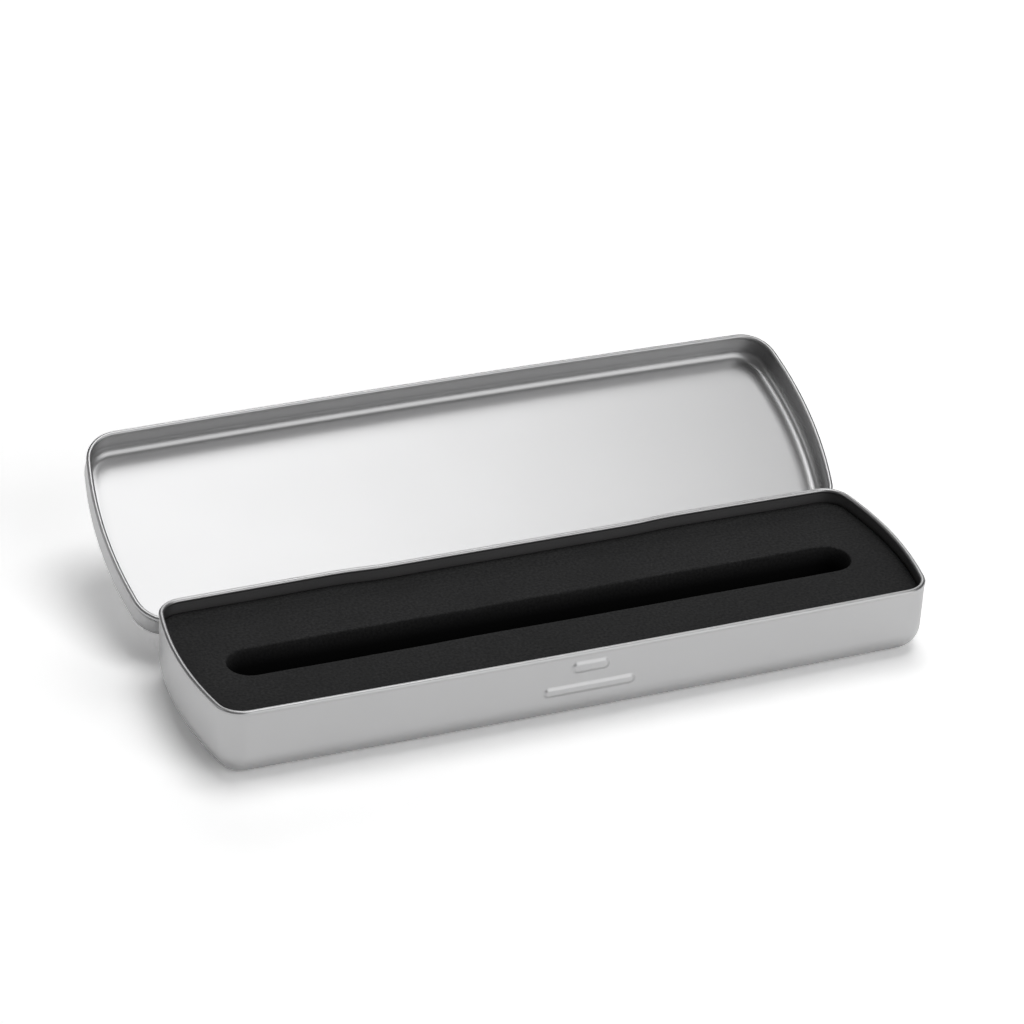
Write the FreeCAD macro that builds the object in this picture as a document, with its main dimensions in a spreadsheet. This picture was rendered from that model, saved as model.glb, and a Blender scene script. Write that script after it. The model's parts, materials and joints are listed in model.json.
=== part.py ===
"""Hinged metal tin for one pen, standing open.

A drawn base tray and a drawn lid, both with rolled rims, turn on a pinned hinge in the middle of the
back wall. A die-cut foam insert with one pen slot lies on a foam pad inside the base.

Frame, in millimetres: X along the tin, Y from the front wall to the hinge, Z up. The origin is the
middle of the base's underside. The lid is built shut and swung open about the hinge pin.
"""
import FreeCAD, Part
import math
import os
from enum import IntEnum

import Sketcher
from FreeCAD import Placement, Rotation, Vector

# Driving sizes in millimetres and degrees
SIZES = {
    # plan of the base, over its walls
    "case_length": 175.0,
    "case_width": 49.6,
    "end_bow": 3.4,  # how far the end walls bulge
    "side_bow": 0.6,  # how far the long walls bulge
    "corner_radius": 6.5,
    # drawn sheet and its rolled edges
    "tin_gauge": 0.3,
    "curl_radius": 0.6,
    # base tray
    "base_height": 17.9,
    "bottom_radius": 6.2,
    "base_curl_proud": 0.12,  # rolled rim beyond the wall's outside
    # flat seat for the hinge, pressed into the back wall
    "recess_depth": 0.85,
    "recess_margin": 4.5,  # flat beyond each end of the hinge
    "recess_blend": 95.0,  # radius of the S-bends beside the flat
    # ridges pressed out of the front wall, measured down from the rim
    "latch_drop": 3.8,
    "latch_length": 8.6,
    "latch_height": 2.3,
    "latch_clearance": 0.4,  # from the ridge to the lid's rolled rim passing it
    "thumb_drop": 9.2,
    "thumb_length": 21.6,
    "thumb_height": 1.9,
    "thumb_stand": 0.45,
    "ridge_round": 0.3,  # edge radius of both ridges
    # lid tray
    "lid_fit": 0.85,  # from the base wall to the lid's rolled rim
    "lid_curl_proud": 0.25,
    "lid_headroom": 1.0,  # top of the shut lid above the base rim
    "lid_depth": 8.1,
    "lid_edge_radius": 2.6,
    "panel_border": 0.4,  # flat between the lid's edge radius and the slope
    "panel_slope": 2.6,  # width of the slope round the sunk panel
    "panel_sink": 0.15,
    "open_angle": 153.5,
    # hinge
    "hinge_length": 46.0,
    "hinge_reach": 0.95,  # pin axis behind the middle of the back wall
    "hinge_rise": 0.4,  # pin axis above the shut lid's rim
    "pin_radius": 0.6,
    "pin_play": 0.05,
    "pin_overhang": 0.5,
    "pin_round": 0.2,
    "knuckle_radius": 1.05,
    "knuckle_gap": 0.25,
    "leaf_gauge": 0.4,
    "leaf_fit": 0.06,  # lid leaf to the lid's bowed back wall
    "base_leaf_height": 4.2,
    "lid_leaf_height": 3.6,
    "tongue_lift": 0.1,  # base tongues above the knuckles' lowest line
    "notch_clearance": 0.5,  # lid wall and leaf clear of the base knuckles
    "notch_margin": 0.8,
    "heel_angle": 30.0,  # stop heel below level where it meets the base leaf
    "stop_gap": 0.05,
    # foam
    "foam_drop": 3.8,  # foam top below the base rim
    "foam_pad": 5.0,
    "foam_fit": 0.25,
    "slot_margin": 11.35,  # from each end of the slot to the end wall's outside
    "slot_width": 10.8,
}
KNUCKLES = 5  # the first, third and fifth belong to the base


class Spot(IntEnum):
    """Point of a sketched curve that a constraint holds."""

    START = 1
    END = 2
    CENTRE = 3


class Axis(IntEnum):
    """A sketch's own axes, in the place of a curve's number."""

    ACROSS = -1
    UPRIGHT = -2


ORIGIN = (Axis.ACROSS, Spot.START)
UP = Vector(0, 0, 1)
ALONG = Vector(1, 0, 0)
NEAR = 1e-5  # two heights nearer than this are the same height

# Derived sizes, as expressions of the sheet's cells
SIDE_RADIUS = "((Sizes.case_length / 2)^2 + Sizes.side_bow^2) / (2 * Sizes.side_bow)"
END_RADIUS = "((Sizes.case_width / 2)^2 + Sizes.end_bow^2) / (2 * Sizes.end_bow)"
WALL_TOP = "Sizes.base_height - Sizes.curl_radius"
SEAT_Y = "Sizes.case_width / 2 - Sizes.recess_depth"
SEAT_HALF = "Sizes.hinge_length / 2 + Sizes.recess_margin"
LID_OUT = "Sizes.lid_fit + 2 * Sizes.curl_radius - Sizes.lid_curl_proud"
LID_IN = f"{LID_OUT} - Sizes.tin_gauge"
LID_TOP = "Sizes.base_height + Sizes.lid_headroom"
LID_RIM = f"{LID_TOP} - Sizes.lid_depth"
HINGE_Y = "Sizes.case_width / 2 + Sizes.hinge_reach"
HINGE_Z = f"{LID_RIM} + Sizes.hinge_rise"
KNUCKLE = f"(Sizes.hinge_length - {KNUCKLES - 1} * Sizes.knuckle_gap) / {KNUCKLES}"
NOTCH_TOP = f"{HINGE_Z} + Sizes.knuckle_radius + Sizes.notch_clearance"
FOAM_TOP = "Sizes.base_height - Sizes.foam_drop"
FOAM_OFFSET = "-(Sizes.tin_gauge + Sizes.foam_fit)"
SLOT_LENGTH = "Sizes.case_length - 2 * Sizes.slot_margin"

doc = FreeCAD.newDocument("PenTin")
sheet = doc.addObject("Spreadsheet::Sheet", "Sizes")
for row, (alias, number) in enumerate(SIZES.items(), start=1):
    sheet.set(f"A{row}", str(number))
    sheet.setAlias(f"A{row}", alias)
doc.recompute()


def value(expression):
    """Number that an expression of the sheet's cells gives."""
    return float(sheet.evalExpression(expression))


def bind(thing, **expressions):
    """Bind properties of an object to expressions; a dot in a property's path is written as __."""
    for path, expression in expressions.items():
        thing.setExpression(path.replace("__", "."), expression)


# Sketch helpers


def new_sketch(body, name, role, height="0"):
    """Sketch on one of the body's origin planes, raised along that plane's normal."""
    sketch = body.newObject("Sketcher::SketchObject", name)
    plane = next(item for item in body.Origin.OriginFeatures if item.Role == role)
    sketch.AttachmentSupport = [(plane, "")]
    sketch.MapMode = "FlatFace"
    bind(sketch, AttachmentOffset__Base__z=height)
    return sketch


def hold(sketch, kind, *references):
    """Add a geometric constraint."""
    sketch.addConstraint(Sketcher.Constraint(kind, *references))


def radius(sketch, geometry, expression):
    """Bind an arc's or circle's radius."""
    index = sketch.addConstraint(Sketcher.Constraint("Radius", geometry, value(expression)))
    sketch.setExpression(f"Constraints[{index}]", expression)


def distance(sketch, kind, point, expression):
    """Bind a point's signed distance from the origin along one axis."""
    number = value(expression)
    ends = (*ORIGIN, *point) if number >= 0 else (*point, *ORIGIN)
    index = sketch.addConstraint(Sketcher.Constraint(kind, *ends, abs(number)))
    sketch.setExpression(f"Constraints[{index}]", expression if number >= 0 else f"-({expression})")


def meeting_points(centre_a, radius_a, centre_b, radius_b):
    """Both points that lie at two given distances from two centres."""
    line = centre_b - centre_a
    along = (line.Length**2 + radius_a**2 - radius_b**2) / (2 * line.Length)
    across = math.sqrt(radius_a**2 - along**2)
    direction = Vector(line).normalize()
    normal = Vector(-direction.y, direction.x, 0)
    foot = centre_a + direction * along
    return [foot + normal * across, foot - normal * across]


def mirrored(point):
    """Point on the other side of the tin's length."""
    return Vector(-point.x, point.y, 0)


def plan_stations(recessed):
    """Points of the base's plan, counter-clockwise from the middle of the front, with what follows each.

    A stretch is (name, centre, turn): turn is 1 on a bulging arc, -1 on a hollow one, 0 on the flat.
    """
    half_length = value("Sizes.case_length / 2")
    half_width = value("Sizes.case_width / 2")
    corner = value("Sizes.corner_radius")
    side, end = value(SIDE_RADIUS), value(END_RADIUS)
    front, rear = Vector(0, side - half_width, 0), Vector(0, half_width - side, 0)
    right = Vector(half_length - end, 0, 0)
    near_corner = Vector(half_length - corner, corner - half_width, 0)
    choices = meeting_points(front, side - corner, right, end - corner)
    front_right = min(choices, key=lambda point: (point - near_corner).Length)
    rear_right = Vector(front_right.x, -front_right.y, 0)

    def beyond(centre, through, reach):
        return centre + (through - centre).normalize() * reach

    half = [
        (Vector(0, -half_width, 0), ("front", front, 1)),
        (beyond(front, front_right, side), ("corner", front_right, 1)),
        (beyond(right, front_right, end), ("end", right, 1)),
        (beyond(right, rear_right, end), ("corner", rear_right, 1)),
        (beyond(rear, rear_right, side), ("rear", rear, 1)),
    ]
    if recessed:
        blend = value("Sizes.recess_blend")
        flat_end = Vector(value(SEAT_HALF), value(SEAT_Y), 0)
        hollow = flat_end + Vector(0, blend, 0)
        bulge = max(meeting_points(rear, side - blend, hollow, 2 * blend), key=lambda point: point.x)
        half += [
            (beyond(rear, bulge, side), ("blend", bulge, 1)),
            ((bulge + hollow) * 0.5, ("blend", hollow, -1)),
            (flat_end, ("flat", None, 0)),
        ]
    stations = list(half)
    for index in range(len(half) - 1, 0, -1):
        name, centre, turn = half[index - 1][1]
        stations.append((mirrored(half[index][0]), (name, centre and mirrored(centre), turn)))
    return stations


def draw_plan(sketch, offset="0", recessed=True):
    """Draw the plan outline moved outwards by an offset, and bind it to the sheet."""
    stations = plan_stations(recessed)
    count = len(stations)
    shift = value(offset)
    ends = []
    for index, (start, (name, centre, turn)) in enumerate(stations):
        finish = stations[(index + 1) % count][0]
        if turn == 0:
            move = Vector(0, shift, 0)
            sketch.addGeometry(Part.LineSegment(start + move, finish + move), False)
            ends.append((Spot.START, Spot.END))
            continue
        first, last = (start, finish) if turn > 0 else (finish, start)
        angles = [math.atan2(point.y - centre.y, point.x - centre.x) for point in (first, last)]
        if angles[1] < angles[0]:
            angles[1] += 2 * math.pi
        circle = Part.Circle(centre, UP, (start - centre).Length + turn * shift)
        sketch.addGeometry(Part.ArcOfCircle(circle, *angles), False)
        ends.append((Spot.START, Spot.END) if turn > 0 else (Spot.END, Spot.START))
    for index in range(count - 1):
        hold(sketch, "Tangent", index, ends[index][1], index + 1, ends[index + 1][0])
    hold(sketch, "Coincident", count - 1, Spot.END, 0, Spot.START)
    bind_plan(sketch, stations, offset)


def bind_plan(sketch, stations, offset):
    """Constrain a drawn plan outline fully, with its sizes bound to the sheet."""
    radii = {
        "front": SIDE_RADIUS,
        "rear": SIDE_RADIUS,
        "end": END_RADIUS,
        "corner": "Sizes.corner_radius",
        "blend": "Sizes.recess_blend",
    }
    last = len(stations) - 1
    first_rear = None
    for index, (start, (name, centre, turn)) in enumerate(stations):
        if name == "front":
            if index == last:
                hold(sketch, "Coincident", index, Spot.CENTRE, 0, Spot.CENTRE)
                continue
            hold(sketch, "PointOnObject", index, Spot.START, Axis.UPRIGHT)
            hold(sketch, "PointOnObject", index, Spot.CENTRE, Axis.UPRIGHT)
            distance(sketch, "DistanceY", (index, Spot.CENTRE), f"{SIDE_RADIUS} - Sizes.case_width / 2")
        if name == "rear" and first_rear is None:
            first_rear = index
            hold(sketch, "PointOnObject", index, Spot.CENTRE, Axis.UPRIGHT)
            distance(sketch, "DistanceY", (index, Spot.CENTRE), f"Sizes.case_width / 2 - {SIDE_RADIUS}")
        elif name == "rear":
            hold(sketch, "Coincident", index, Spot.CENTRE, first_rear, Spot.CENTRE)
        if name == "end":
            side = "" if start.x > 0 else "-"
            place = f"{side}(Sizes.case_length / 2 - {END_RADIUS})"
            hold(sketch, "PointOnObject", index, Spot.CENTRE, Axis.ACROSS)
            distance(sketch, "DistanceX", (index, Spot.CENTRE), place)
        if name == "flat":
            hold(sketch, "Horizontal", index)
            distance(sketch, "DistanceY", (index, Spot.START), f"{SEAT_Y} + {offset}")
            distance(sketch, "DistanceX", (index, Spot.START), SEAT_HALF)
            distance(sketch, "DistanceX", (index, Spot.END), f"-({SEAT_HALF})")
        else:
            sign = "+" if turn > 0 else "-"
            radius(sketch, index, f"{radii[name]} {sign} ({offset})")


def draw_stadium(sketch, length, height, level):
    """Draw a round-ended bar centred on the sketch's vertical axis at a level, and bind it."""
    half_height = f"({height}) / 2"
    half_straight = f"(({length}) - ({height})) / 2"
    reach, top, mid = value(half_straight), value(half_height), value(level)
    quarter = math.pi / 2
    sketch.addGeometry(Part.LineSegment(Vector(-reach, mid - top, 0), Vector(reach, mid - top, 0)), False)
    right = Part.Circle(Vector(reach, mid, 0), UP, top)
    sketch.addGeometry(Part.ArcOfCircle(right, -quarter, quarter), False)
    sketch.addGeometry(Part.LineSegment(Vector(reach, mid + top, 0), Vector(-reach, mid + top, 0)), False)
    left = Part.Circle(Vector(-reach, mid, 0), UP, top)
    sketch.addGeometry(Part.ArcOfCircle(left, quarter, 3 * quarter), False)
    for index in range(4):
        hold(sketch, "Tangent", index, Spot.END, (index + 1) % 4, Spot.START)
    radius(sketch, 1, half_height)
    hold(sketch, "Equal", 1, 3)
    distance(sketch, "DistanceX", (1, Spot.CENTRE), half_straight)
    distance(sketch, "DistanceX", (3, Spot.CENTRE), f"-{half_straight}")
    if abs(mid) < NEAR:
        hold(sketch, "PointOnObject", 1, Spot.CENTRE, Axis.ACROSS)
    else:
        distance(sketch, "DistanceY", (1, Spot.CENTRE), level)


def draw_rectangle(sketch, left, right, low, high):
    """Draw a rectangle between four bound edges."""
    places = ((left, low), (right, low), (right, high), (left, high))
    corners = [Vector(value(across), value(level), 0) for across, level in places]
    for index in range(4):
        sketch.addGeometry(Part.LineSegment(corners[index], corners[(index + 1) % 4]), False)
    for index in range(4):
        hold(sketch, "Coincident", index, Spot.END, (index + 1) % 4, Spot.START)
        hold(sketch, "Horizontal" if index % 2 == 0 else "Vertical", index)
    distance(sketch, "DistanceX", (0, Spot.START), left)
    distance(sketch, "DistanceY", (0, Spot.START), low)
    distance(sketch, "DistanceX", (2, Spot.START), right)
    distance(sketch, "DistanceY", (2, Spot.START), high)


def draw_circle(sketch, across, level, size):
    """Draw a circle with bound centre and radius."""
    centre = Vector(value(across), value(level), 0)
    sketch.addGeometry(Part.Circle(centre, UP, value(size)), False)
    distance(sketch, "DistanceX", (0, Spot.CENTRE), across)
    distance(sketch, "DistanceY", (0, Spot.CENTRE), level)
    radius(sketch, 0, size)


# Feature helpers


def new_body(label):
    """Body that becomes one sub-part."""
    body = doc.addObject("PartDesign::Body", label)
    body.Label = label
    return body


def pad(body, name, sketch, length):
    """Pad a sketch along its normal."""
    feature = body.newObject("PartDesign::Pad", name)
    feature.Profile = sketch
    bind(feature, Length=length)
    doc.recompute()
    return feature


def pocket(body, name, sketch, length, along_normal=False):
    """Cut a sketch into the body, against its normal unless told otherwise, and see that it cut."""
    before = body.Shape.Volume
    feature = body.newObject("PartDesign::Pocket", name)
    feature.Profile = sketch
    feature.Reversed = along_normal
    bind(feature, Length=length)
    doc.recompute()
    if feature.Shape.Volume > before - NEAR:
        raise RuntimeError(f"{body.Label}: {name} cuts nothing")
    return feature


def edges_in_plane(shape, axis, expression):
    """Names of a shape's edges that lie in the plane at a place on one axis."""
    place = value(expression)
    names = []
    for index, edge in enumerate(shape.Edges, start=1):
        box = edge.BoundBox
        low, high = getattr(box, f"{axis}Min"), getattr(box, f"{axis}Max")
        if abs(low - place) < NEAR and abs(high - place) < NEAR:
            names.append(f"Edge{index}")
    return names


def round_edges(body, name, base, axis, place, size):
    """Round every edge of a feature that lies in one plane."""
    feature = body.newObject("PartDesign::Fillet", name)
    feature.Base = (base, edges_in_plane(base.Shape, axis, place))
    bind(feature, Radius=size)
    doc.recompute()
    return feature


def roll_rim(body, offset, level, recessed):
    """Sweep the rolled edge's round section along the plan."""
    path = new_sketch(body, "RimPath", "XY_Plane", level)
    draw_plan(path, offset, recessed)
    section = new_sketch(body, "RimSection", "YZ_Plane")
    draw_circle(section, f"-(Sizes.case_width / 2 + {offset})", level, "Sizes.curl_radius")
    doc.recompute()
    feature = body.newObject("PartDesign::AdditivePipe", "RolledRim")
    feature.Profile = section
    feature.Spine = (path, [f"Edge{index + 1}" for index in range(len(path.Shape.Edges))])
    doc.recompute()
    return feature


def loft(body, kind, name, offset_from, level_from, offset_to, level_to):
    """Loft between two plan outlines at two levels, adding or cutting."""
    wide = new_sketch(body, f"{name}Wide", "XY_Plane", level_from)
    draw_plan(wide, offset_from, recessed=False)
    narrow = new_sketch(body, f"{name}Narrow", "XY_Plane", level_to)
    draw_plan(narrow, offset_to, recessed=False)
    doc.recompute()
    feature = body.newObject(f"PartDesign::{kind}", name)
    feature.Profile = wide
    feature.Sections = [narrow]
    feature.Ruled = True
    doc.recompute()
    return feature


def box(name, low_x, low_y, low_z, length, width, height):
    """Box from its lowest corner and its sizes along X, Y and Z."""
    item = doc.addObject("Part::Box", name)
    bind(item, Length=length, Width=width, Height=height)
    bind(item, Placement__Base__x=low_x, Placement__Base__y=low_y, Placement__Base__z=low_z)
    return item


def rod(name, low_x, length, size):
    """Cylinder on the hinge axis."""
    item = doc.addObject("Part::Cylinder", name)
    bind(item, Radius=size, Height=length)
    item.Placement.Rotation = Rotation(UP, ALONG)
    bind(item, Placement__Base__x=low_x, Placement__Base__y=HINGE_Y, Placement__Base__z=HINGE_Z)
    return item


def bored(label, pieces):
    """Fuse a hinge leaf's pieces and bore them for the pin."""
    whole = doc.addObject("Part::MultiFuse", f"{label}_blank")
    whole.Shapes = pieces
    whole.Refine = True
    size = "Sizes.pin_radius + Sizes.pin_play"
    bore = rod(f"{label}_bore", "-Sizes.hinge_length", "2 * Sizes.hinge_length", size)
    leaf = doc.addObject("Part::Cut", label)
    leaf.Base = whole
    leaf.Tool = bore
    leaf.Refine = True
    leaf.Label = label
    return leaf


def swing_open():
    """Placement that turns the shut lid about the pin to its open stop."""
    axis = Vector(0, value(HINGE_Y), value(HINGE_Z))
    return Placement(Vector(), Rotation(ALONG, -value("Sizes.open_angle")), axis)


def knuckle_start(index):
    """Expression for the left end of one knuckle, counted from the left."""
    return f"-Sizes.hinge_length / 2 + {index} * ({KNUCKLE} + Sizes.knuckle_gap)"


# Sub-parts


def press_ridge(body, name, drop, length, height, stand):
    """Press a ridge out of the base's front wall, hollow behind."""
    level = f"Sizes.base_height - {drop}"
    front = "Sizes.case_width / 2"
    wall = "2 * Sizes.tin_gauge"
    outline = new_sketch(body, f"{name}Plan", "XZ_Plane", f"{front} - Sizes.tin_gauge / 2")
    draw_stadium(outline, length, height, level)
    ridge = pad(body, name, outline, f"{stand} + Sizes.tin_gauge / 2")
    round_edges(body, f"{name}Edge", ridge, "Y", f"-({front} + {stand})", "Sizes.ridge_round")
    back = new_sketch(body, f"{name}BackPlan", "XZ_Plane", f"{front} - {wall}")
    draw_stadium(back, f"{length} - {wall}", f"{height} - {wall}", level)
    pocket(body, f"{name}Back", back, f"{stand} + Sizes.tin_gauge", along_normal=True)


def base_tray():
    """Drawn base with a rounded bottom edge, a rolled rim, a hinge seat and two front ridges."""
    body = new_body("base_tray")
    plan = new_sketch(body, "Plan", "XY_Plane")
    draw_plan(plan)
    pad(body, "Blank", plan, WALL_TOP)
    inside = new_sketch(body, "InsidePlan", "XY_Plane", WALL_TOP)
    draw_plan(inside, "-Sizes.tin_gauge")
    hollow = pocket(body, "Hollow", inside, f"{WALL_TOP} - Sizes.tin_gauge")
    inner_radius = "Sizes.bottom_radius - Sizes.tin_gauge"
    hollow = round_edges(body, "InsideEdge", hollow, "Z", "Sizes.tin_gauge", inner_radius)
    round_edges(body, "BottomEdge", hollow, "Z", "0", "Sizes.bottom_radius")
    roll_rim(body, "Sizes.base_curl_proud - Sizes.curl_radius", WALL_TOP, recessed=True)
    stand = "(Sizes.lid_fit - Sizes.latch_clearance)"
    press_ridge(body, "Latch", "Sizes.latch_drop", "Sizes.latch_length", "Sizes.latch_height", stand)
    stand = "Sizes.thumb_stand"
    press_ridge(body, "Thumb", "Sizes.thumb_drop", "Sizes.thumb_length", "Sizes.thumb_height", stand)
    return body


def lid_tray():
    """Drawn lid with a rounded top edge, a sunk panel, a rolled rim and a notch for the hinge."""
    body = new_body("lid_tray")
    rim_middle = f"{LID_RIM} + Sizes.curl_radius"
    plan = new_sketch(body, "Plan", "XY_Plane", rim_middle)
    draw_plan(plan, LID_OUT, recessed=False)
    pad(body, "Blank", plan, "Sizes.lid_depth - Sizes.curl_radius")
    inside = new_sketch(body, "InsidePlan", "XY_Plane", rim_middle)
    draw_plan(inside, LID_IN, recessed=False)
    depth = "Sizes.lid_depth - Sizes.curl_radius - Sizes.tin_gauge"
    hollow = pocket(body, "Hollow", inside, depth, along_normal=True)
    ceiling = f"{LID_TOP} - Sizes.tin_gauge"
    inner_radius = "Sizes.lid_edge_radius - Sizes.tin_gauge"
    hollow = round_edges(body, "InsideEdge", hollow, "Z", ceiling, inner_radius)
    round_edges(body, "TopEdge", hollow, "Z", LID_TOP, "Sizes.lid_edge_radius")
    slope_from = f"{LID_OUT} - Sizes.lid_edge_radius - Sizes.panel_border"
    slope_to = f"{slope_from} - Sizes.panel_slope"
    inner, outer = f"{ceiling} - Sizes.panel_sink", f"{LID_TOP} - Sizes.panel_sink"
    loft(body, "AdditiveLoft", "PanelInside", slope_from, ceiling, slope_to, inner)
    loft(body, "SubtractiveLoft", "PanelOutside", slope_from, LID_TOP, slope_to, outer)
    roll_rim(body, "Sizes.lid_fit + Sizes.curl_radius", rim_middle, recessed=False)
    half = "(Sizes.hinge_length / 2 + Sizes.notch_margin)"
    notch = new_sketch(body, "NotchPlan", "XZ_Plane", f"-({SEAT_Y})")
    draw_rectangle(notch, f"-{half}", half, f"{LID_RIM} - Sizes.notch_clearance", NOTCH_TOP)
    pocket(body, "HingeNotch", notch, f"Sizes.recess_depth + {LID_OUT} + 2 * Sizes.curl_radius")
    body.Placement = swing_open()
    return body


def base_hinge_leaf():
    """Leaf on the back wall's flat seat, with tongues that carry the base's knuckles."""
    tongue_low = f"{HINGE_Z} - Sizes.knuckle_radius + Sizes.tongue_lift"
    top = f"{tongue_low} + Sizes.leaf_gauge"
    half = "Sizes.hinge_length / 2"
    height = "Sizes.base_leaf_height"
    plate_low = f"{top} - {height}"
    gauge = "Sizes.leaf_gauge"
    reach = "Sizes.recess_depth + Sizes.hinge_reach"
    pieces = [box("base_plate", f"-{half}", SEAT_Y, plate_low, "Sizes.hinge_length", gauge, height)]
    for index in range(0, KNUCKLES, 2):
        start = knuckle_start(index)
        pieces.append(box(f"base_tongue_{index}", start, SEAT_Y, tongue_low, KNUCKLE, reach, gauge))
        pieces.append(rod(f"base_knuckle_{index}", start, KNUCKLE, "Sizes.knuckle_radius"))
    return bored("base_hinge_leaf", pieces)


def stop_heel(index):
    """Bar on a lid knuckle that meets the base leaf when the lid is fully open."""
    reach = "Sizes.hinge_reach + Sizes.recess_depth - Sizes.leaf_gauge - Sizes.stop_gap"
    thickness = "Sizes.leaf_gauge / 2 * sin(Sizes.heel_angle * 1deg)"
    heel = doc.addObject("Part::Box", f"heel_{index}")
    bind(heel, Length=KNUCKLE, Height="Sizes.leaf_gauge")
    bind(heel, Width=f"({reach} - {thickness}) / cos(Sizes.heel_angle * 1deg)")
    turn = Rotation(ALONG, 180 + value("Sizes.heel_angle") + value("Sizes.open_angle"))
    corner = turn.multVec(Vector(0, 0, -value("Sizes.leaf_gauge") / 2))
    place = Vector(value(knuckle_start(index)), value(HINGE_Y), value(HINGE_Z))
    heel.Placement = Placement(place + corner, turn)
    return heel


def lid_hinge_leaf():
    """Leaf inside the lid's back wall, with tongues, the lid's knuckles and their stop heels."""
    half = "Sizes.hinge_length / 2"
    draw_in = f"({half})^2 / (2 * ({SIDE_RADIUS}))"  # of the bowed wall at the leaf's ends
    face = f"Sizes.case_width / 2 + {LID_IN} - {draw_in} - Sizes.leaf_fit - Sizes.leaf_gauge"
    height = "Sizes.lid_leaf_height"
    gauge = "Sizes.leaf_gauge"
    pieces = [box("lid_plate", f"-{half}", face, NOTCH_TOP, "Sizes.hinge_length", gauge, height)]
    drop = f"{NOTCH_TOP} - ({HINGE_Z}) + {gauge}"
    for index in range(1, KNUCKLES, 2):
        start = knuckle_start(index)
        pieces.append(box(f"lid_tongue_{index}", start, face, HINGE_Z, KNUCKLE, gauge, drop))
        pieces.append(rod(f"lid_knuckle_{index}", start, KNUCKLE, "Sizes.knuckle_radius"))
        pieces.append(stop_heel(index))
    leaf = bored("lid_hinge_leaf", pieces)
    leaf.Placement = swing_open()
    return leaf


def hinge_pin():
    """Wire pin with rounded ends."""
    low = "-Sizes.hinge_length / 2 - Sizes.pin_overhang"
    wire = rod("pin_wire", low, "Sizes.hinge_length + 2 * Sizes.pin_overhang", "Sizes.pin_radius")
    doc.recompute()
    pin = doc.addObject("Part::Fillet", "hinge_pin")
    pin.Base = wire
    size = value("Sizes.pin_round")
    edges = enumerate(wire.Shape.Edges, start=1)
    pin.Edges = [(index, size, size) for index, edge in edges if edge.isClosed()]
    pin.Label = "hinge_pin"
    return pin


def foam_block(label):
    """Foam body that fills the base's inside up to the foam's top."""
    body = new_body(label)
    plan = new_sketch(body, "Plan", "XY_Plane", "Sizes.tin_gauge")
    draw_plan(plan, FOAM_OFFSET)
    block = pad(body, "Block", plan, f"{FOAM_TOP} - Sizes.tin_gauge")
    round_edges(body, "BottomEdge", block, "Z", "Sizes.tin_gauge", "Sizes.bottom_radius - Sizes.tin_gauge")
    cut = new_sketch(body, "CutPlan", "XY_Plane", "Sizes.tin_gauge + Sizes.foam_pad")
    reach = "Sizes.case_length"
    draw_rectangle(cut, f"-{reach}", reach, "-Sizes.case_width", "Sizes.case_width")
    return body, cut


def foam_backing():
    """Plain foam pad on the tin's floor."""
    body, cut = foam_block("foam_backing")
    pocket(body, "Above", cut, "Sizes.base_height", along_normal=True)
    return body


def foam_insert():
    """Foam insert with the round-ended pen slot cut right through."""
    body, cut = foam_block("foam_insert")
    pocket(body, "Below", cut, "Sizes.base_height")
    slot = new_sketch(body, "SlotPlan", "XY_Plane", FOAM_TOP)
    draw_stadium(slot, SLOT_LENGTH, "Sizes.slot_width", "0")
    pocket(body, "PenSlot", slot, "Sizes.base_height")
    return body


def write_parts(parts):
    """Check every object and write each sub-part to its own file."""
    failed = [item.Name for item in doc.Objects if {"Invalid", "Error"} & set(item.State)]
    if failed:
        raise RuntimeError(f"failed objects: {failed}")
    for part in parts:
        if part.Shape.isNull() or not part.Shape.isValid() or len(part.Shape.Solids) != 1:
            raise RuntimeError(f"{part.Label} is not one valid solid")
    os.makedirs("parts", exist_ok=True)
    for part in parts:
        part.Shape.exportStep(f"parts/{part.Label}.step")
        print(f"{part.Label}: {part.Shape.Volume:.1f} mm3, {part.Shape.BoundBox}")


sub_parts = [
    base_tray(),
    base_hinge_leaf(),
    hinge_pin(),
    lid_tray(),
    lid_hinge_leaf(),
    foam_backing(),
    foam_insert(),
]
doc.recompute()
write_parts(sub_parts)
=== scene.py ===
"""Looks of the hinged pen tin: satin sheet shells, a small pinned hinge and a black foam bed.

The tin stands open on a white studio floor. Every piece is in metres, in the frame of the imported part:
X along the tin, Y from the front wall to the hinge, Z up, with the origin under the middle of the base.
"""
import json
import logging
import math
from collections.abc import Iterable, Sequence
from dataclasses import dataclass, field
from enum import Enum
from itertools import pairwise

import bmesh
import bpy
from bmesh.types import BMEdge, BMesh, BMVert
from mathutils import Matrix, Vector, noise


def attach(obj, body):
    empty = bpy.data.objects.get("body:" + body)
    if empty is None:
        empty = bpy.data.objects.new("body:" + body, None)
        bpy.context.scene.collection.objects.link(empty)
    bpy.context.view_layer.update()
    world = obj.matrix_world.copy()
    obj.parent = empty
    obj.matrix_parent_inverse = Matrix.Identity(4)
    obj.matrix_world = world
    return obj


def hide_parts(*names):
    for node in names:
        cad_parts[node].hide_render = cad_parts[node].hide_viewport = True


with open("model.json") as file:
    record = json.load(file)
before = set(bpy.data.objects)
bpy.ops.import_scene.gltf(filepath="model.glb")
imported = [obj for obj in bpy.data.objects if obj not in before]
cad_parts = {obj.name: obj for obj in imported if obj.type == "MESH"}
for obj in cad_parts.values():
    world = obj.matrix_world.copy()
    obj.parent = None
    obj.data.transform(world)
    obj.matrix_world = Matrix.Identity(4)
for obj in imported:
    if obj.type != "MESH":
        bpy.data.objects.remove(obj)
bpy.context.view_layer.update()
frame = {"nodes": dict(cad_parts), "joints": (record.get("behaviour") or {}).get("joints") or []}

log = logging.getLogger("pen_tin")

MM = 0.001
IMAGE_PX = 1024
MERGE_REACH = 1e-7
FULL_TURN = 360.0
QUARTER_TURN = 90.0

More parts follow.
